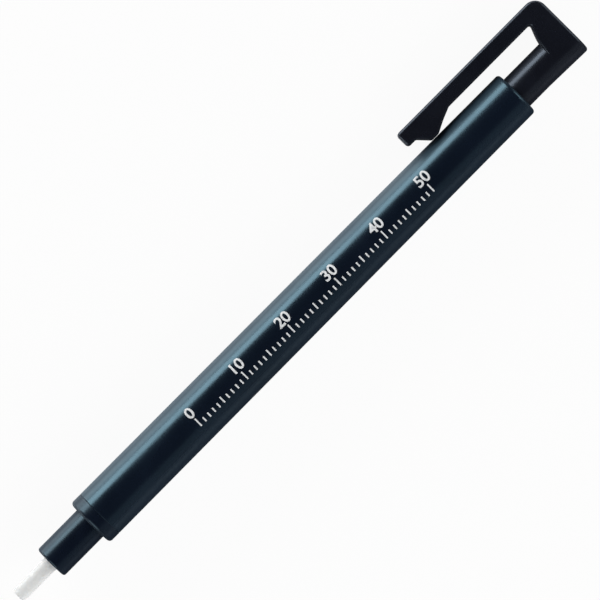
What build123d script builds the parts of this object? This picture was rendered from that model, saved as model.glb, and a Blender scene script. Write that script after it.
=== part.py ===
"""Push-button holder for a round white eraser stick, lying on its barrel and the edge of its clip.

X is the axis of the barrel, positive towards the button. The origin is on the axis, in the shoulder where
the narrow nose meets the collar. The clip points towards +Y and leans down until its edge is level with
the barrel's lowest line. Lengths are in millimetres. Radii are built up from the stick outwards, one wall
and one clearance at a time.
"""

import os
from math import asin, atan2, cos, hypot, pi, sin, sqrt

from build123d import *

# Eraser stick
stick_d = 2.5
stick_length = 88.0
stick_reach = 7.1
stick_edge = 0.12

# Nose: front sleeve, collar and spigot
nose_length = 8.5
nose_wall = 0.46
nose_front_wall = 1.2
nose_edge = 0.4
nose_mouth_chamfer = 0.15
collar_length = 2.1
collar_edge = 0.6
spigot_length = 7.4
spigot_wall = 0.47
spigot_chamfer = 0.3
shoulder_depth = 0.4
seam_chamfer = 0.06

# Barrel
barrel_length = 92.0
barrel_wall = 0.975
barrel_draft = 0.2
barrel_back_edge = 0.55
lip_length = 3.0
lip_chamfer = 0.25

# Friction ring
friction_ring_length = 2.2
friction_rib_height = 0.25
friction_rib_count = 3
friction_rib_flat_share = 0.2

# Chuck
chuck_wall = 0.5
chuck_seat = 3.15
chuck_head_height = 0.41
chuck_head_length = 0.8
chuck_head_reach = 1.6
chuck_cone_length = 2.2
chuck_chamfer = 0.25
jaw_room = 0.18
slot_count = 3
slot_width = 0.45
slot_length = 11.0
slot_eye_d = 0.9
bite_count = 5
bite_pitch = 0.5
bite_depth = 0.12

# Clutch ring
clutch_length = 2.0
clutch_wall = 0.55
clutch_chamfer = 0.15
clutch_travel = 1.2

# Spring sleeve
sleeve_length = 9.0
sleeve_front_wall = 1.2
sleeve_flange_length = 0.8
sleeve_chamfer = 0.1

# Return spring
wire_d = 0.35
spring_turns = 8
coil_samples = 36

# Coupler
coupler_wall = 0.48
coupler_web = 1.35
coupler_flange_length = 1.0
coupler_chamfer = 0.25
coupler_gap = 1.7

# Inner tube
tube_wall = 0.55
tube_room = 0.3
tube_chamfer = 0.2
tube_front_seat = 3.0
tube_back_seat = 8.0

# Button: stem, cap block and clip
stem_wall = 0.72
stem_inside_length = 6.0
stem_chamfer = 0.3
flare_margin = 0.9
flare_drop = 0.22
button_reach = 12.4
button_travel = 3.5
cap_length = 5.1
cap_lean = 1.45
cap_bow = 0.4
cap_bow_r = 9.0
cap_edge = 0.5
cap_corner_r = 2.0
cap_crook_r = 0.3
clip_length = 29.9
clip_thickness = 2.62
clip_gap = 1.88
round_margin = 0.08
tooth_setback = 1.65
tooth_front_run = 1.7
tooth_tip_length = 1.35
tooth_back_run = 4.0
tooth_bow = 0.1
tooth_bow_r = 12.0
tooth_root_r = 0.45

# Clearances
stick_clearance = 0.04
guide_clearance = 0.07
cone_clearance = 0.04
stop_clearance = 0.05
seat_clearance = 0.02
spring_clearance = 0.1
tooth_clearance = 0.03
overrun = 1.0

# Places along the axis
nose_front = -nose_length
nose_inside = nose_front + nose_front_wall
spigot_end = collar_length + spigot_length
clutch_front = shoulder_depth + clutch_travel + stop_clearance
clutch_back = clutch_front + clutch_length
sleeve_front = clutch_back + stop_clearance
sleeve_back = sleeve_front + sleeve_length
spring_front = sleeve_front + sleeve_front_wall
coupler_front = sleeve_back + button_travel + coupler_gap
chuck_front = clutch_front - chuck_head_reach
cone_front = chuck_front + chuck_head_length
cone_back = cone_front + chuck_cone_length
chuck_back = coupler_front + chuck_seat
tube_front = chuck_back + coupler_web
coupler_back = tube_front + tube_front_seat
stem_front = barrel_length - stem_inside_length
tube_back = stem_front + tube_back_seat
flare_front = barrel_length + button_travel + flare_margin
button_back = barrel_length + button_reach
cap_front = button_back - cap_length
clip_tip = button_back - clip_length
stick_front = nose_front - stick_reach
stick_back = stick_front + stick_length

# Radii of the chuck, the clutch ring and the spring, from the stick outwards
stick_r = stick_d / 2
guide_r = stick_r + guide_clearance
grip_r = stick_r + stick_clearance
tail_r = grip_r + chuck_wall
tail_hole_r = tail_r + guide_clearance
head_r = tail_r + chuck_head_height
cone_slope = chuck_head_height / chuck_cone_length
mouth_r = head_r - cone_slope * (clutch_front - cone_front) + cone_clearance
clutch_r = mouth_r + clutch_wall
wire_r = wire_d / 2
coil_r = tail_r + spring_clearance + wire_r
sleeve_bore_r = coil_r + wire_r + spring_clearance

# Radii of the nose and the barrel
nose_bore_r = head_r + jaw_room
nose_r = nose_bore_r + nose_wall
chamber_r = clutch_r + guide_clearance
sleeve_r = chamber_r - seat_clearance
spigot_r = chamber_r + spigot_wall
bore_r = spigot_r + seat_clearance
front_r = bore_r + barrel_wall
back_r = front_r - barrel_draft

# Radii of the inner tube, the coupler and the stem
tube_bore_r = stick_r + tube_room
tube_r = tube_bore_r + tube_wall
chuck_socket_r = tail_r + seat_clearance
tube_socket_r = tube_r + seat_clearance
coupler_r = tube_socket_r + coupler_wall
stem_r = tube_socket_r + stem_wall
stem_hole_r = stem_r + guide_clearance

# Heights of the clip over the axis
clip_under = back_r + clip_gap
clip_height = clip_under + clip_thickness

# The clip leans until the round of its outer edge is level with the barrel's lowest line
edge_height = clip_height - cap_edge
edge_side = stem_r - cap_edge
clip_lean = asin((front_r - cap_edge) / hypot(edge_height, edge_side)) - atan2(edge_side, edge_height)
clip_way = (0, cos(clip_lean), -sin(clip_lean))
side_way = (0, sin(clip_lean), cos(clip_lean))
side_plane = Plane(origin=(0, 0, 0), x_dir=(1, 0, 0), z_dir=side_way)
clip_plane = Plane(origin=(0, 0, 0), x_dir=(1, 0, 0), z_dir=clip_way)


def barrel_r(x):
    """Outer radius of the tapered barrel and collar at x."""
    return front_r - barrel_draft * x / barrel_length


def cross_plane(x):
    """Plane across the axis at x, with its own x towards the clip."""
    return Plane(origin=(x, 0, 0), x_dir=clip_way, z_dir=(1, 0, 0))


def turn(*corners):
    """Turn an outline about the axis. A corner is its place, its radius and, where it has one, its round."""
    rounds = [corner[2] if len(corner) > 2 else 0 for corner in corners]
    with BuildSketch(Plane.XY) as outline:
        with BuildLine():
            FilletPolyline(*[corner[:2] for corner in corners], radius=rounds, close=True)
        make_face()
    revolve(outline.sketch, axis=Axis.X)


os.makedirs("parts", exist_ok=True)

# Eraser stick
with BuildPart() as eraser_stick:
    turn(
        (stick_front, 0),
        (stick_front, stick_r, stick_edge),
        (stick_back, stick_r, stick_edge),
        (stick_back, 0),
    )
eraser_stick.part.label = "eraser_stick"
export_step(eraser_stick.part, "parts/eraser_stick.step")

# Nose, with a guide hole, a bore for the jaws and a wider chamber for the clutch ring
seam_r = barrel_r(collar_length)
with BuildPart() as nose:
    turn(
        (nose_front + nose_mouth_chamfer, guide_r),
        (nose_front, guide_r + nose_mouth_chamfer),
        (nose_front, nose_r, nose_edge),
        (0, nose_r),
        (0, front_r, collar_edge),
        (collar_length - seam_chamfer, seam_r),
        (collar_length, seam_r - seam_chamfer),
        (collar_length, spigot_r),
        (spigot_end - spigot_chamfer, spigot_r),
        (spigot_end, spigot_r - spigot_chamfer),
        (spigot_end, chamber_r),
        (shoulder_depth, chamber_r),
        (shoulder_depth, nose_bore_r),
        (nose_inside, nose_bore_r),
        (nose_inside, guide_r),
    )
nose.part.label = "nose"
export_step(nose.part, "parts/nose.step")

# Barrel, whose bore ends in a lip that guides the button's stem
lip_front = barrel_length - lip_length
with BuildPart() as barrel:
    turn(
        (collar_length, bore_r),
        (collar_length, seam_r - seam_chamfer),
        (collar_length + seam_chamfer, seam_r),
        (barrel_length, back_r, barrel_back_edge),
        (barrel_length, stem_hole_r + lip_chamfer),
        (barrel_length - lip_chamfer, stem_hole_r),
        (lip_front, stem_hole_r),
        (lip_front - (bore_r - stem_hole_r), bore_r),
    )
barrel.part.label = "barrel"
export_step(barrel.part, "parts/barrel.step")

# Friction ring, whose inner ribs hold the stick while the jaws go back
ring_front = nose_inside + seat_clearance
ring_back = ring_front + friction_ring_length
ring_r = nose_bore_r - seat_clearance
groove_r = grip_r + friction_rib_height
rib_pitch = friction_ring_length / friction_rib_count
rib_corners = []
for i in range(friction_rib_count):
    rib_start = ring_front + rib_pitch * i
    rib_middle = rib_start + rib_pitch / 2
    rib_half_flat = rib_pitch * friction_rib_flat_share / 2
    rib_corners.append((rib_start, groove_r))
    rib_corners.append((rib_middle - rib_half_flat, grip_r))
    rib_corners.append((rib_middle + rib_half_flat, grip_r))
with BuildPart() as friction_ring:
    turn(*rib_corners, (ring_back, groove_r), (ring_back, ring_r), (ring_front, ring_r))
friction_ring.part.label = "friction_ring"
export_step(friction_ring.part, "parts/friction_ring.step")

# Chuck: a thin tube slotted into jaws, with saw teeth inside its conical head
bite_corners = []
for i in range(bite_count):
    bite_start = chuck_front + chuck_chamfer + bite_pitch * i
    bite_corners.append((bite_start, grip_r))
    bite_corners.append((bite_start + bite_pitch, grip_r + bite_depth))
bite_back = chuck_front + chuck_chamfer + bite_pitch * bite_count
slot_front = chuck_front - overrun
slot_back = chuck_front + slot_length
with BuildPart() as chuck:
    turn(
        (chuck_front, grip_r + chuck_chamfer),
        *bite_corners,
        (bite_back, grip_r),
        (chuck_back, grip_r),
        (chuck_back, tail_r - chuck_chamfer),
        (chuck_back - chuck_chamfer, tail_r),
        (cone_back, tail_r),
        (cone_front, head_r),
        (chuck_front + chuck_chamfer, head_r),
        (chuck_front, head_r - chuck_chamfer),
    )
    for i in range(slot_count):
        slot_angle = 2 * pi * i / slot_count
        slot_way = (0, cos(slot_angle), sin(slot_angle))
        with BuildSketch(Plane(origin=(0, 0, 0), x_dir=(1, 0, 0), z_dir=slot_way)):
            with Locations(((slot_front + slot_back) / 2, 0)):
                Rectangle(slot_back - slot_front, slot_width)
            with Locations((slot_back, 0)):
                Circle(slot_eye_d / 2)
        extrude(amount=head_r + overrun, mode=Mode.SUBTRACT)
chuck.part.label = "chuck"
export_step(chuck.part, "parts/chuck.step")

# Clutch ring, whose cone squeezes the jaws
mouth_back = clutch_front + (mouth_r - tail_hole_r) / cone_slope
with BuildPart() as clutch_ring:
    turn(
        (clutch_front, mouth_r),
        (clutch_front, clutch_r - clutch_chamfer),
        (clutch_front + clutch_chamfer, clutch_r),
        (clutch_back - clutch_chamfer, clutch_r),
        (clutch_back, clutch_r - clutch_chamfer),
        (clutch_back, tail_hole_r),
        (mouth_back, tail_hole_r),
    )
clutch_ring.part.label = "clutch_ring"
export_step(clutch_ring.part, "parts/clutch_ring.step")

# Spring sleeve, pushed into the spigot up to its flange
flange_front = spigot_end + seat_clearance
flange_back = flange_front + sleeve_flange_length
flange_r = spigot_r - sleeve_chamfer
with BuildPart() as spring_sleeve:
    turn(
        (sleeve_front, tail_hole_r),
        (sleeve_front, sleeve_r - sleeve_chamfer),
        (sleeve_front + sleeve_chamfer, sleeve_r),
        (flange_front, sleeve_r),
        (flange_front, flange_r),
        (flange_back, flange_r),
        (flange_back, sleeve_r),
        (sleeve_back - sleeve_chamfer, sleeve_r),
        (sleeve_back, sleeve_r - sleeve_chamfer),
        (sleeve_back, sleeve_bore_r),
        (spring_front, sleeve_bore_r),
        (spring_front, tail_hole_r),
    )
spring_sleeve.part.label = "spring_sleeve"
export_step(spring_sleeve.part, "parts/spring_sleeve.step")

# Return spring: a helix of arcs, two to each half turn, tangent to the helix where they meet it
coil_front = spring_front + seat_clearance + wire_r
coil_back = coupler_front - seat_clearance - wire_r
coil_rate = (coil_back - coil_front) / (2 * pi * spring_turns)


def coil_point(angle):
    """Point of the wire's centre line at this angle."""
    return Vector(coil_front + coil_rate * angle, coil_r * cos(angle), coil_r * sin(angle))


def coil_tangent(angle):
    """Unit tangent of the wire's centre line at this angle."""
    return Vector(coil_rate, -coil_r * sin(angle), coil_r * cos(angle)).normalized()


def arc_pair(start_angle, end_angle):
    """Two tangent arcs from one point of the helix to another."""
    start, end = coil_point(start_angle), coil_point(end_angle)
    leave, arrive = coil_tangent(start_angle), coil_tangent(end_angle)
    chord = end - start
    square = 2 * leave.dot(arrive) - 2
    middle = chord.dot(leave + arrive)
    handle = (middle - sqrt(middle * middle - square * chord.dot(chord))) / square
    leave_handle, arrive_handle = start + leave * handle, end - arrive * handle
    knee = (leave_handle + arrive_handle) / 2
    TangentArc(start, knee, tangent=leave)
    TangentArc(knee, end, tangent=arrive_handle - leave_handle)


with BuildPart() as return_spring:
    with BuildLine() as coil:
        for half_turn in range(2 * spring_turns):
            arc_pair(half_turn * pi, (half_turn + 1) * pi)
    with BuildSketch(Plane(origin=coil_point(0), z_dir=coil_tangent(0))):
        Circle(wire_r)
    sweep(path=coil.wires()[0])
return_spring.part.label = "return_spring"
export_step(return_spring.part, "parts/return_spring.step")

coil_points = [coil_point(2 * pi * i / coil_samples) for i in range(coil_samples * spring_turns + 1)]
least_gap = min(
    (far - near).length - wire_d
    for i, near in enumerate(coil_points)
    for far in coil_points[i + coil_samples // 2 :]
)
print(f"least gap between the spring's turns: {least_gap:.2f} mm")

# Coupler, with a socket for the chuck in front and one for the inner tube behind
coupler_flange_back = coupler_front + coupler_flange_length
coupler_flange_r = bore_r - guide_clearance
with BuildPart() as coupler:
    turn(
        (coupler_front, chuck_socket_r),
        (coupler_front, coupler_flange_r),
        (coupler_flange_back, coupler_flange_r),
        (coupler_flange_back, coupler_r),
        (coupler_back - coupler_chamfer, coupler_r),
        (coupler_back, coupler_r - coupler_chamfer),
        (coupler_back, tube_socket_r),
        (tube_front - seat_clearance, tube_socket_r),
        (tube_front - seat_clearance, tube_bore_r),
        (chuck_back + seat_clearance, tube_bore_r),
        (chuck_back + seat_clearance, chuck_socket_r),
    )
coupler.part.label = "coupler"
export_step(coupler.part, "parts/coupler.step")

# Inner tube, which holds the rest of the stick and carries the push of the button
with BuildPart() as inner_tube:
    turn(
        (tube_front, tube_bore_r),
        (tube_front, tube_r - tube_chamfer),
        (tube_front + tube_chamfer, tube_r),
        (tube_back - tube_chamfer, tube_r),
        (tube_back, tube_r - tube_chamfer),
        (tube_back, tube_bore_r),
    )
inner_tube.part.label = "inner_tube"
export_step(inner_tube.part, "parts/inner_tube.step")

# Stem of the button: plain where it slides in the lip, with its underside flared from there to the end
with BuildPart() as stem:
    with BuildSketch(cross_plane(stem_front)):
        Circle(stem_r)
    extrude(amount=flare_front - stem_front)
    for x, drop in ((flare_front, 0), (button_back, flare_drop)):
        with BuildSketch(cross_plane(x)):
            with BuildLine():
                CenterArc((0, 0), stem_r, -90, 180)
                EllipticalCenterArc((0, 0), stem_r + drop, stem_r, start_angle=90, arc_size=180)
            make_face()
    loft()
    fillet(stem.faces().sort_by(Axis.X)[-1].edges(), cap_edge)
    chamfer(stem.faces().sort_by(Axis.X)[0].edges(), stem_chamfer)

# Button in one piece: cap block, clip arm and tooth are cut from one side outline, then joined to the stem
tooth_front = clip_tip + tooth_setback
tip_front = tooth_front + tooth_front_run
tip_back = tip_front + tooth_tip_length
tooth_back = tip_back + tooth_back_run
tip_height = barrel_r(tip_front - button_travel) + tooth_clearance
tooth_middle = (tip_back + tooth_back) / 2
tooth_middle_height = (tip_height + clip_under) / 2 + tooth_bow
end_r = cap_edge + round_margin
clip_corners = [
    (cap_front, 0, 0),
    (cap_front + cap_lean / 2 - cap_bow, clip_under / 2, cap_bow_r),
    (cap_front + cap_lean, clip_under, cap_crook_r),
    (tooth_back, clip_under, tooth_root_r),
    (tooth_middle, tooth_middle_height, tooth_bow_r),
    (tip_back, tip_height, end_r),
    (tip_front, tip_height, end_r),
    (tooth_front, clip_under, tooth_root_r),
    (clip_tip, clip_under, end_r),
    (clip_tip, clip_height, end_r),
    (button_back, clip_height, cap_corner_r),
    (button_back, 0, 0),
]
with BuildPart() as clip_button:
    with BuildSketch(side_plane):
        with BuildLine():
            clip_rounds = [corner[2] for corner in clip_corners]
            FilletPolyline(*[corner[:2] for corner in clip_corners], radius=clip_rounds, close=True)
        make_face()
    extrude(amount=stem_r, both=True)
    side_edges = clip_button.faces().filter_by(Axis((0, 0, 0), side_way)).edges()
    fillet([edge for edge in side_edges if clip_plane.to_local_coords(edge.center()).Z > seat_clearance], cap_edge)
    add(stem.part)
    with BuildSketch(cross_plane(stem_front)):
        Circle(tube_socket_r)
    extrude(amount=tube_back_seat + seat_clearance, mode=Mode.SUBTRACT)
clip_button.part.label = "clip_button"
export_step(clip_button.part, "parts/clip_button.step")
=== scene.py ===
"""Looks of a push-button holder for a round eraser stick: finishes, the rule printed on its barrel,
and the studio that it is shown in.

Lengths are in metres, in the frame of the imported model. X is the axis of the barrel, positive towards the
button, and the clip leans from +Y down to the floor.
"""

from math import cos, pi, radians, sin

import bmesh
import bpy
from mathutils import Matrix, Vector


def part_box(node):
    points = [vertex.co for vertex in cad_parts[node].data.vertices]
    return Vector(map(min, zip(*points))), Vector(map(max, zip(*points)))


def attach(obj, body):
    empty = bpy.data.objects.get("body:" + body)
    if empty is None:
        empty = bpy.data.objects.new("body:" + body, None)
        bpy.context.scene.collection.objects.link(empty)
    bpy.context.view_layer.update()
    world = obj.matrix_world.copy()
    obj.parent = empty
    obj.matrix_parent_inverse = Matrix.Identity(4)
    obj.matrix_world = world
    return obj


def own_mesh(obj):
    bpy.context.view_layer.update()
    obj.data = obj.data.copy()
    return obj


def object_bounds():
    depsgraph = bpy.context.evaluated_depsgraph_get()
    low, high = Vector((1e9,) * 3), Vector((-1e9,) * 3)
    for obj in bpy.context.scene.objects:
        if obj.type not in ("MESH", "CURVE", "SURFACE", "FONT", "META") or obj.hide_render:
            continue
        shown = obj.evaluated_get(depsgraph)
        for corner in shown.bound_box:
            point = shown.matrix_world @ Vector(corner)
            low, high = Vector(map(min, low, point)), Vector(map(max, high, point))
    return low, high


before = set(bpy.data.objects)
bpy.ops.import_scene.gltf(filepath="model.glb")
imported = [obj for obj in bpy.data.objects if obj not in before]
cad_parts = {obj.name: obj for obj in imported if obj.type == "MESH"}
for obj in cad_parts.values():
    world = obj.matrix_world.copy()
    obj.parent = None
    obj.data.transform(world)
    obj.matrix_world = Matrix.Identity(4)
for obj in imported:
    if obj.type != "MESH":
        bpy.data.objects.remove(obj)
cad_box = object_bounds()

mm = 0.001

# Directions of the holder: along its axis, towards the clip, towards the eye, and straight up
clip_lean = radians(9.896)
axis_way = Vector((1, 0, 0))
clip_way = Vector((0, cos(clip_lean), -sin(clip_lean)))
side_way = Vector((0, sin(clip_lean), cos(clip_lean)))
up_way = Vector((0, 0, 1))

# Barrel: its radius falls by this much over its length, from the nose to the button
barrel_narrowing = 0.2 * mm
barrel_length = 92 * mm

# Printed rule on the barrel
rule_start_x = 22.5 * mm
rule_length_mm = 50
rule_foot = -1.65 * mm
tick_width = 0.24 * mm
short_tick = 0.85 * mm
middle_tick = 1.2 * mm
long_tick = 1.55 * mm
digit_height = 1.8 * mm
digit_gap = 0.32 * mm
digit_swell = 0.05 * mm
digit_share = 0.7  # height of a digit in Blender's own font, where its size is 1
ink_lift = 0.008 * mm
ink_thickness = 0.01 * mm
wrap_step = 0.2 * mm
weld_distance = 0.0001 * mm

# Skin of the moulded pieces: how handling changes colour and roughness, and where a slant turns satin
film_paler = 1.35
film_smoother = 0.03
film_rougher = 0.05
rub_polish = 0.08
satin_start = 0.22
satin_full = 0.5

# Edge rub: cosines between the true normal and a rounded one where the rub starts and where it is full
rub_start = 0.97
rub_full = 0.75

# Camera
view_turn = radians(45.25)
view_centre_x = 46.49 * mm
view_centre_rise = 1.24 * mm
view_width = 91.12 * mm
lens = 500.0
sensor_width = 36.0

# Floor and air
floor_radius = 3.0
floor_sides = 96
floor_glow = 0.94
floor_grey = 0.9
world_grey = 0.05

# Softboxes: place from the middle of the holder, width, height and brightness
softboxes = {
    "key": ((0, 0.35, 0.087), 0.34, 0.165, 6.0),
    "end_front": ((-0.42, -0.05, 0.22), 0.34, 0.26, 2.4),
    "end_back": ((0.42, -0.05, 0.22), 0.34, 0.26, 2.4),
    "fill": ((0, -0.436, 0.283), 0.9, 0.485, 0.17),
    "even": ((0, -0.39, 0.205), 0.9, 0.28, 2.1),
}

# Low panel on the clip's side, and on the other a black card of painted shade that stands in for the shaded
# floor there. Both are flat and just over the floor
low_lift = 0.1 * mm
low_gap = 6 * mm
low_length = 160 * mm
low_panel_width = 44 * mm
low_panel_radiance = 2.7
painted_shade_card_width = 30 * mm


# Node tools


def new_group(name, inputs, outputs):
    """An empty shader group with named float sockets. Returns its tree, its input node and its output
    node."""
    tree = bpy.data.node_groups.new(name, "ShaderNodeTree")
    for label, value in inputs.items():
        socket = tree.interface.new_socket(label, in_out="INPUT", socket_type="NodeSocketFloat")
        socket.default_value = value
    for label in outputs:
        tree.interface.new_socket(label, in_out="OUTPUT", socket_type="NodeSocketFloat")
    return tree, tree.nodes.new("NodeGroupInput"), tree.nodes.new("NodeGroupOutput")


def use_group(tree, group, **values):
    """The group placed in a material. A value is named after its socket, in lower case."""
    node = tree.nodes.new("ShaderNodeGroup")
    node.node_tree = group
    for name, value in values.items():
        socket = next(s for s in node.inputs if s.name.lower().replace(" ", "_") == name)
        socket.default_value = value
    return node


def math_step(tree, operation, a, b, clamp=False):
    """One sum. a and b are numbers or sockets."""
    node = tree.nodes.new("ShaderNodeMath")
    node.operation = operation
    node.use_clamp = clamp
    for socket, value in zip(node.inputs, (a, b)):
        if isinstance(value, bpy.types.NodeSocket):
            tree.links.new(value, socket)
        else:
            socket.default_value = value
    return node.outputs[0]


def remap(tree, value, low, high, to_low, to_high):
    """value moved from low ... high to to_low ... to_high, held inside. low and high may be sockets."""
    node = tree.nodes.new("ShaderNodeMapRange")
    tree.links.new(value, node.inputs["Value"])
    for label, limit in (("From Min", low), ("From Max", high)):
        if isinstance(limit, bpy.types.NodeSocket):
            tree.links.new(limit, node.inputs[label])
        else:
            node.inputs[label].default_value = limit
    node.inputs["To Min"].default_value = to_low
    node.inputs["To Max"].default_value = to_high
    return node.outputs["Result"]


def blend_colours(tree, share, first, second):
    """first where share is 0 and second where it is 1. Each is a colour or a socket."""
    node = tree.nodes.new("ShaderNodeMix")
    node.data_type = "RGBA"
    tree.links.new(share, node.inputs[0])
    for socket, colour in ((node.inputs[6], first), (node.inputs[7], second)):
        if isinstance(colour, bpy.types.NodeSocket):
            tree.links.new(colour, socket)
        else:
            socket.default_value = (*colour, 1)
    return node.outputs[2]


def noise_of_size(tree, size, detail, distortion=0.0):
    """Noise fixed to the piece, with spots of this size, which is a socket. Returns its value."""
    place = tree.nodes.new("ShaderNodeTexCoord")
    noise = tree.nodes.new("ShaderNodeTexNoise")
    noise.inputs["Detail"].default_value = detail
    noise.inputs["Distortion"].default_value = distortion
    tree.links.new(place.outputs["Object"], noise.inputs["Vector"])
    tree.links.new(math_step(tree, "DIVIDE", 1.0, size), noise.inputs["Scale"])
    return noise.outputs["Fac"]


def shade(colour, share):
    """The colour made darker or paler by this share."""
    return tuple(c * share for c in colour)


# Effects that the finishes share


def make_moulded_grain():
    """Fine skin of a moulded surface, as a height."""
    tree, given, made = new_group("moulded_grain", {"Grain Size": 0.1 * mm}, ["Height"])
    height = noise_of_size(tree, given.outputs["Grain Size"], detail=3.0)
    tree.links.new(height, made.inputs["Height"])
    return tree


def make_handling_haze():
    """Soft patches where fingers have left a film, from 0 to 1."""
    inputs = {"Patch Size": 6 * mm, "Sharpness": 0.25}
    tree, given, made = new_group("handling_haze", inputs, ["Haze"])
    patches = noise_of_size(tree, given.outputs["Patch Size"], detail=4.0, distortion=0.6)
    low = math_step(tree, "SUBTRACT", 0.5, given.outputs["Sharpness"])
    high = math_step(tree, "ADD", 0.5, given.outputs["Sharpness"])
    tree.links.new(remap(tree, patches, low, high, 0, 1), made.inputs["Haze"])
    return tree


def make_edge_rub():
    """Where an edge is worn smooth and paler, from 0 to 1, broken up by a fine noise."""
    inputs = {"Edge Width": 0.25 * mm, "Break Size": 0.6 * mm, "Strength": 1.0}
    tree, given, made = new_group("edge_rub", inputs, ["Rub"])
    rounded = tree.nodes.new("ShaderNodeBevel")
    rounded.samples = 6
    tree.links.new(given.outputs["Edge Width"], rounded.inputs["Radius"])
    surface = tree.nodes.new("ShaderNodeNewGeometry")
    compare = tree.nodes.new("ShaderNodeVectorMath")
    compare.operation = "DOT_PRODUCT"
    tree.links.new(rounded.outputs["Normal"], compare.inputs[0])
    tree.links.new(surface.outputs["Normal"], compare.inputs[1])
    edge = remap(tree, compare.outputs["Value"], rub_start, rub_full, 0, 1)
    spots = noise_of_size(tree, given.outputs["Break Size"], detail=3.0)
    broken = math_step(tree, "MULTIPLY", edge, remap(tree, spots, 0.35, 0.65, 0.25, 1))
    rub = math_step(tree, "MULTIPLY", broken, given.outputs["Strength"], clamp=True)
    tree.links.new(rub, made.inputs["Rub"])
    return tree


moulded_grain = make_moulded_grain()
handling_haze = make_handling_haze()
edge_rub = make_edge_rub()


# Finishes


def start_finish(name):
    """A material with its shader. Returns the material, its tree and its shader."""
    material = bpy.data.materials.new(name)
    material.use_nodes = True
    tree = material.node_tree
    return material, tree, tree.nodes["Principled BSDF"]


def give_grain(tree, shader, size, depth):
    """Puts a moulded grain of this size and depth on the shader's normal."""
    grain = use_group(tree, moulded_grain, grain_size=size)
    bump = tree.nodes.new("ShaderNodeBump")
    bump.inputs["Distance"].default_value = depth
    tree.links.new(grain.outputs["Height"], bump.inputs["Height"])
    tree.links.new(bump.outputs["Normal"], shader.inputs["Normal"])


def moulded_plastic(name, colour, worn_colour, roughness, shine, tint, patch, satin_rise):
    """Coloured moulded plastic: a fine grain, a film from handling, edges rubbed paler, duller at a slant."""
    material, tree, shader = start_finish(name)
    haze = use_group(tree, handling_haze, patch_size=patch).outputs["Haze"]
    rub = use_group(tree, edge_rub).outputs["Rub"]
    body = blend_colours(tree, haze, colour, shade(colour, film_paler))
    tree.links.new(blend_colours(tree, rub, body, worn_colour), shader.inputs["Base Color"])
    slant = tree.nodes.new("ShaderNodeLayerWeight")
    slant.inputs["Blend"].default_value = 0.5
    satin = remap(tree, slant.outputs["Facing"], satin_start, satin_full, 0, satin_rise)
    film = remap(tree, haze, 0, 1, roughness - film_smoother, roughness + film_rougher)
    film = math_step(tree, "ADD", film, satin)
    polish = math_step(tree, "MULTIPLY", rub, rub_polish)
    tree.links.new(math_step(tree, "SUBTRACT", film, polish), shader.inputs["Roughness"])
    shader.inputs["Specular IOR Level"].default_value = shine
    shader.inputs["Specular Tint"].default_value = (*tint, 1)
    give_grain(tree, shader, 0.16 * mm, 0.004 * mm)
    return material


def eraser_rubber():
    """White eraser, matt and slightly see-through, with faint dust from its own crumbs."""
    material, tree, shader = start_finish("eraser_white")
    dust = use_group(tree, handling_haze, patch_size=1.2 * mm, sharpness=0.2).outputs["Haze"]
    colour = blend_colours(tree, dust, (0.89, 0.90, 0.90), (0.84, 0.85, 0.84))
    tree.links.new(colour, shader.inputs["Base Color"])
    tree.links.new(remap(tree, dust, 0, 1, 0.42, 0.6), shader.inputs["Roughness"])
    shader.inputs["Subsurface Weight"].default_value = 0.4
    shader.inputs["Subsurface Radius"].default_value = (1.0, 0.95, 0.9)
    shader.inputs["Subsurface Scale"].default_value = 1.5 * mm
    give_grain(tree, shader, 0.12 * mm, 0.006 * mm)
    return material


def plain_plastic(name, colour, roughness):
    """Uncoloured or black inner moulding with a fine grain and grease from the mechanism."""
    material, tree, shader = start_finish(name)
    grease = use_group(tree, handling_haze, patch_size=2 * mm).outputs["Haze"]
    body = blend_colours(tree, grease, colour, shade(colour, 0.88))
    tree.links.new(body, shader.inputs["Base Color"])
    tree.links.new(remap(tree, grease, 0, 1, roughness, roughness - 0.12), shader.inputs["Roughness"])
    give_grain(tree, shader, 0.1 * mm, 0.003 * mm)
    return material


def drawn_metal(name, colour, roughness):
    """Metal with the fine skin of drawing or turning and a darker film in patches."""
    material, tree, shader = start_finish(name)
    film = use_group(tree, handling_haze, patch_size=1.5 * mm).outputs["Haze"]
    body = blend_colours(tree, film, colour, shade(colour, 0.75))
    tree.links.new(body, shader.inputs["Base Color"])
    tree.links.new(remap(tree, film, 0, 1, roughness, roughness + 0.12), shader.inputs["Roughness"])
    shader.inputs["Metallic"].default_value = 1.0
    give_grain(tree, shader, 0.05 * mm, 0.002 * mm)
    return material


def printed_ink():
    """White pad-printed ink, thin in small spots where hands have rubbed it."""
    material, tree, shader = start_finish("ink_white")
    wear = use_group(tree, handling_haze, patch_size=0.5 * mm, sharpness=0.12).outputs["Haze"]
    thin = remap(tree, wear, 0.7, 1, 0, 0.45)
    ink = blend_colours(tree, thin, (0.88, 0.90, 0.91), (0.42, 0.45, 0.48))
    tree.links.new(ink, shader.inputs["Base Color"])
    tree.links.new(remap(tree, wear, 0, 1, 0.38, 0.52), shader.inputs["Roughness"])
    give_grain(tree, shader, 0.08 * mm, 0.002 * mm)
    return material


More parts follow.
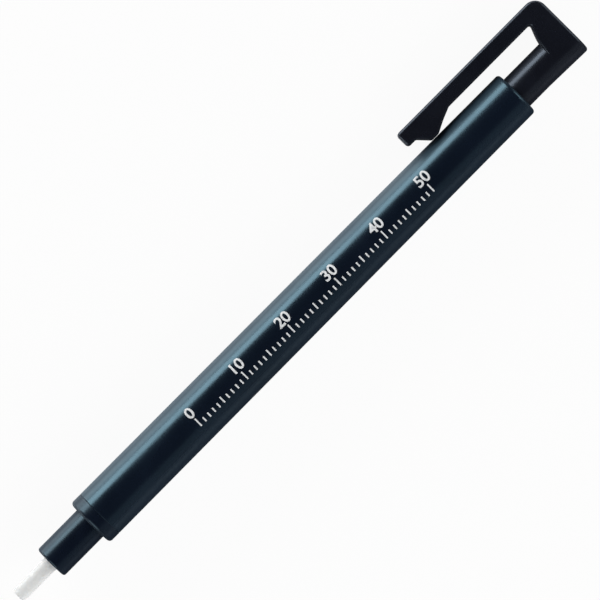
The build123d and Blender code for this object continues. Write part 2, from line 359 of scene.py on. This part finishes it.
navy = (0.0028, 0.0048, 0.0120)
black = (0.0055, 0.0062, 0.0103)
finishes = {
    "barrel": moulded_plastic(
        "barrel_navy",
        navy,
        worn_colour=(0.016, 0.024, 0.036),
        roughness=0.24,
        shine=0.77,
        tint=(0.46, 0.81, 1.0),
        patch=7 * mm,
        satin_rise=0.5,
    ),
    "nose": moulded_plastic(
        "nose_navy",
        navy,
        worn_colour=(0.016, 0.022, 0.030),
        roughness=0.27,
        shine=0.52,
        tint=(0.54, 0.83, 1.0),
        patch=4 * mm,
        satin_rise=0.5,
    ),
    "clip_button": moulded_plastic(
        "clip_black",
        black,
        worn_colour=(0.018, 0.018, 0.023),
        roughness=0.26,
        shine=0.5,
        tint=(0.68, 0.82, 1.0),
        patch=5 * mm,
        satin_rise=0.7,
    ),
    "eraser_stick": eraser_rubber(),
    "friction_ring": plain_plastic("ring_rubber", (0.05, 0.05, 0.055), roughness=0.7),
    "chuck": plain_plastic("chuck_natural", (0.68, 0.68, 0.64), roughness=0.4),
    "clutch_ring": drawn_metal("clutch_brass", (0.76, 0.60, 0.32), roughness=0.24),
    "spring_sleeve": plain_plastic("sleeve_black", (0.02, 0.02, 0.022), roughness=0.5),
    "return_spring": drawn_metal("spring_steel", (0.56, 0.57, 0.58), roughness=0.22),
    "coupler": plain_plastic("coupler_natural", (0.60, 0.60, 0.57), roughness=0.45),
    "inner_tube": plain_plastic("tube_natural", (0.66, 0.67, 0.65), roughness=0.38),
}
for node_name, finish in finishes.items():
    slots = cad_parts[node_name].data.materials
    slots.clear()
    slots.append(finish)


# Printed rule

barrel_front, barrel_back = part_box("barrel")
barrel_taper = barrel_narrowing / barrel_length


def barrel_r(x):
    """Outer radius of the tapered barrel at x."""
    return barrel_back.y - barrel_taper * (x - barrel_front.x)


def add_tick(shape, x, height):
    """One flat stroke of the rule at x, standing on the rule's foot."""
    made = bmesh.ops.create_grid(shape, x_segments=1, y_segments=1, size=0.5)
    centre = (x, rule_foot + height / 2, 0)
    place = Matrix.Translation(centre) @ Matrix.Diagonal((tick_width, height, 1, 1))
    bmesh.ops.transform(shape, verts=made["verts"], matrix=place)


def add_number(shape, text, x, foot):
    """Plain digits, centred on x, standing on foot."""
    curve = bpy.data.curves.new("digits", "FONT")
    curve.body = text
    curve.align_x = "CENTER"
    curve.size = digit_height / digit_share
    curve.offset = digit_swell
    digits = bpy.data.objects.new("digits", curve)
    bpy.context.scene.collection.objects.link(digits)
    bpy.context.view_layer.update()
    flat = bpy.data.meshes.new_from_object(digits.evaluated_get(bpy.context.evaluated_depsgraph_get()))
    flat.transform(Matrix.Translation((x, foot, 0)))
    shape.from_mesh(flat)
    bpy.data.objects.remove(digits)
    bpy.data.curves.remove(curve)
    bpy.data.meshes.remove(flat)


def cut_across(shape, low, high, step):
    """Cuts the flat print into narrow strips along the barrel, so that it can follow the round."""
    height = low + step
    while height < high:
        everything = shape.verts[:] + shape.edges[:] + shape.faces[:]
        bmesh.ops.bisect_plane(shape, geom=everything, plane_co=(0, height, 0), plane_no=(0, 1, 0))
        height += step


def wrap_on_barrel(shape):
    """Lays the flat print on the barrel, its x along the axis and its y towards the clip."""
    for point in shape.verts:
        x, rise, _ = point.co
        r = barrel_r(x) + ink_lift
        around = rise / r
        point.co = axis_way * x + clip_way * (r * sin(around)) + side_way * (r * cos(around))


def print_rule():
    """Millimetre rule in white ink, numbered every ten."""
    shape = bmesh.new()
    number_foot = rule_foot + long_tick + digit_gap
    for i in range(rule_length_mm + 1):
        height = long_tick if i % 10 == 0 else middle_tick if i % 5 == 0 else short_tick
        add_tick(shape, rule_start_x + i * mm, height)
        if i % 10 == 0:
            add_number(shape, str(i), rule_start_x + i * mm, number_foot)
    bmesh.ops.remove_doubles(shape, verts=shape.verts, dist=weld_distance)
    cut_across(shape, rule_foot, number_foot + digit_height, wrap_step)
    wrap_on_barrel(shape)
    bmesh.ops.recalc_face_normals(shape, faces=shape.faces)
    bmesh.ops.solidify(shape, geom=shape.faces[:], thickness=-ink_thickness)
    bmesh.ops.recalc_face_normals(shape, faces=shape.faces)
    for face in shape.faces:
        face.smooth = False
    mesh = bpy.data.meshes.new("printed_rule")
    shape.to_mesh(mesh)
    shape.free()
    mesh.materials.append(printed_ink())
    rule = bpy.data.objects.new("printed_rule", mesh)
    bpy.context.scene.collection.objects.link(rule)
    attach(rule, "holder")


print_rule()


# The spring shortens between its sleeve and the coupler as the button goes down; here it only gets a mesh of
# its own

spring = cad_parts["return_spring"]
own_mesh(spring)


# Studio


def floor_white():
    """White paper. A part of its white is its own, so that shadows on it stay faint."""
    material = bpy.data.materials.new("floor_white")
    material.use_nodes = True
    tree = material.node_tree
    tree.nodes.clear()
    end = tree.nodes.new("ShaderNodeOutputMaterial")
    paper = tree.nodes.new("ShaderNodeBsdfDiffuse")
    paper.inputs["Color"].default_value = (floor_grey, floor_grey, floor_grey, 1)
    glow = tree.nodes.new("ShaderNodeEmission")
    glow.inputs["Color"].default_value = (1, 1, 1, 1)
    rays = tree.nodes.new("ShaderNodeLightPath")
    seen = math_step(tree, "MAXIMUM", rays.outputs["Is Camera Ray"], rays.outputs["Is Glossy Ray"])
    seen = math_step(tree, "MAXIMUM", seen, rays.outputs["Is Transmission Ray"])
    mix = tree.nodes.new("ShaderNodeMixShader")
    tree.links.new(math_step(tree, "MULTIPLY", seen, floor_glow), mix.inputs[0])
    tree.links.new(paper.outputs[0], mix.inputs[1])
    tree.links.new(glow.outputs[0], mix.inputs[2])
    tree.links.new(mix.outputs[0], end.inputs["Surface"])
    return material


def card_black():
    """Black matt card, painted shade: it stands in for the shaded floor beside the holder."""
    material, tree, shader = start_finish("card_black")
    shader.inputs["Base Color"].default_value = (0.02, 0.02, 0.02, 1)
    shader.inputs["Roughness"].default_value = 0.9
    return material


def set_up(name, shape, material):
    """Stands a sheet of the studio in the scene. It isn't part of the holder."""
    mesh = bpy.data.meshes.new(name)
    shape.to_mesh(mesh)
    shape.free()
    mesh.materials.append(material)
    sheet = bpy.data.objects.new(name, mesh)
    bpy.context.scene.collection.objects.link(sheet)
    return sheet


def add_floor(height):
    """Wide white floor at this height."""
    shape = bmesh.new()
    bmesh.ops.create_circle(shape, cap_ends=True, segments=floor_sides, radius=floor_radius)
    bmesh.ops.translate(shape, verts=shape.verts, vec=(0, 0, height))
    set_up("floor", shape, floor_white())


def add_softbox(name, centre, target, width, height, radiance):
    """Area lamp of this brightness at centre, facing target, its width level."""
    data = bpy.data.lights.new(name, "AREA")
    data.shape = "RECTANGLE"
    data.size, data.size_y = width, height
    data.energy = radiance * pi * width * height
    lamp = bpy.data.objects.new(name, data)
    bpy.context.scene.collection.objects.link(lamp)
    away = (Vector(centre) - Vector(target)).normalized()
    lamp.rotation_mode = "QUATERNION"
    lamp.rotation_quaternion = away.to_track_quat("Z", "Y")
    lamp.location = centre
    return lamp


def add_softboxes():
    """The lamps round the holder. The even one lights pale surfaces and isn't mirrored in glossy ones."""
    middle = axis_way * view_centre_x
    for name, (place, width, height, radiance) in softboxes.items():
        lamp = add_softbox(name, middle + Vector(place), middle, width, height, radiance)
        if name == "even":
            lamp.visible_camera = False
            lamp.visible_glossy = False


def add_low_panel(height):
    """Panel flat beside the holder at this height, seen only where the holder mirrors it."""
    centre = Vector((view_centre_x, low_gap + low_panel_width / 2, height))
    above = centre + up_way
    panel = add_softbox("low_panel", centre, above, low_length, low_panel_width, low_panel_radiance)
    panel.visible_camera = False
    panel.visible_diffuse = False


def add_dark_card(height):
    """Black card flat on the other side of the holder, seen only where the holder mirrors it: painted shade
    for the shaded floor there, so that this flank mirrors dark.
    """
    shape = bmesh.new()
    bmesh.ops.create_grid(shape, x_segments=1, y_segments=1, size=0.5)
    centre = (view_centre_x, -low_gap - painted_shade_card_width / 2, height)
    place = Matrix.Translation(centre) @ Matrix.Diagonal((low_length, painted_shade_card_width, 1, 1))
    bmesh.ops.transform(shape, verts=shape.verts, matrix=place)
    card = set_up("dark_card", shape, card_black())
    card.visible_camera = False
    card.visible_diffuse = False
    card.visible_shadow = False


def set_world():
    """Dim even grey all round."""
    world = bpy.data.worlds.new("studio")
    bpy.context.scene.world = world
    world.use_nodes = True
    sky = world.node_tree.nodes["Background"]
    sky.inputs["Color"].default_value = (1, 1, 1, 1)
    sky.inputs["Strength"].default_value = world_grey


def set_camera():
    """Long lens straight down on the side of the clip, turned so that the holder rises to the right."""
    right = axis_way * cos(view_turn) - clip_way * sin(view_turn)
    up = axis_way * sin(view_turn) + clip_way * cos(view_turn)
    target = axis_way * view_centre_x + clip_way * view_centre_rise
    data = bpy.data.cameras.new("camera")
    data.lens, data.sensor_width = lens, sensor_width
    distance = view_width * lens / sensor_width
    data.clip_start, data.clip_end = distance * 0.1, distance * 10
    camera = bpy.data.objects.new("camera", data)
    bpy.context.scene.collection.objects.link(camera)
    turned = Matrix((right, up, side_way)).transposed().to_4x4()
    camera.matrix_world = Matrix.Translation(target + side_way * distance) @ turned
    bpy.context.scene.camera = camera


floor_height = cad_box[0].z
add_floor(floor_height)
add_softboxes()
add_low_panel(floor_height + low_lift)
# painted shade: a black card beside the holder, mirrored dark in its flank away from the clip
add_dark_card(floor_height + low_lift)
set_world()
set_camera()

bpy.context.scene.view_settings.view_transform = "Standard"
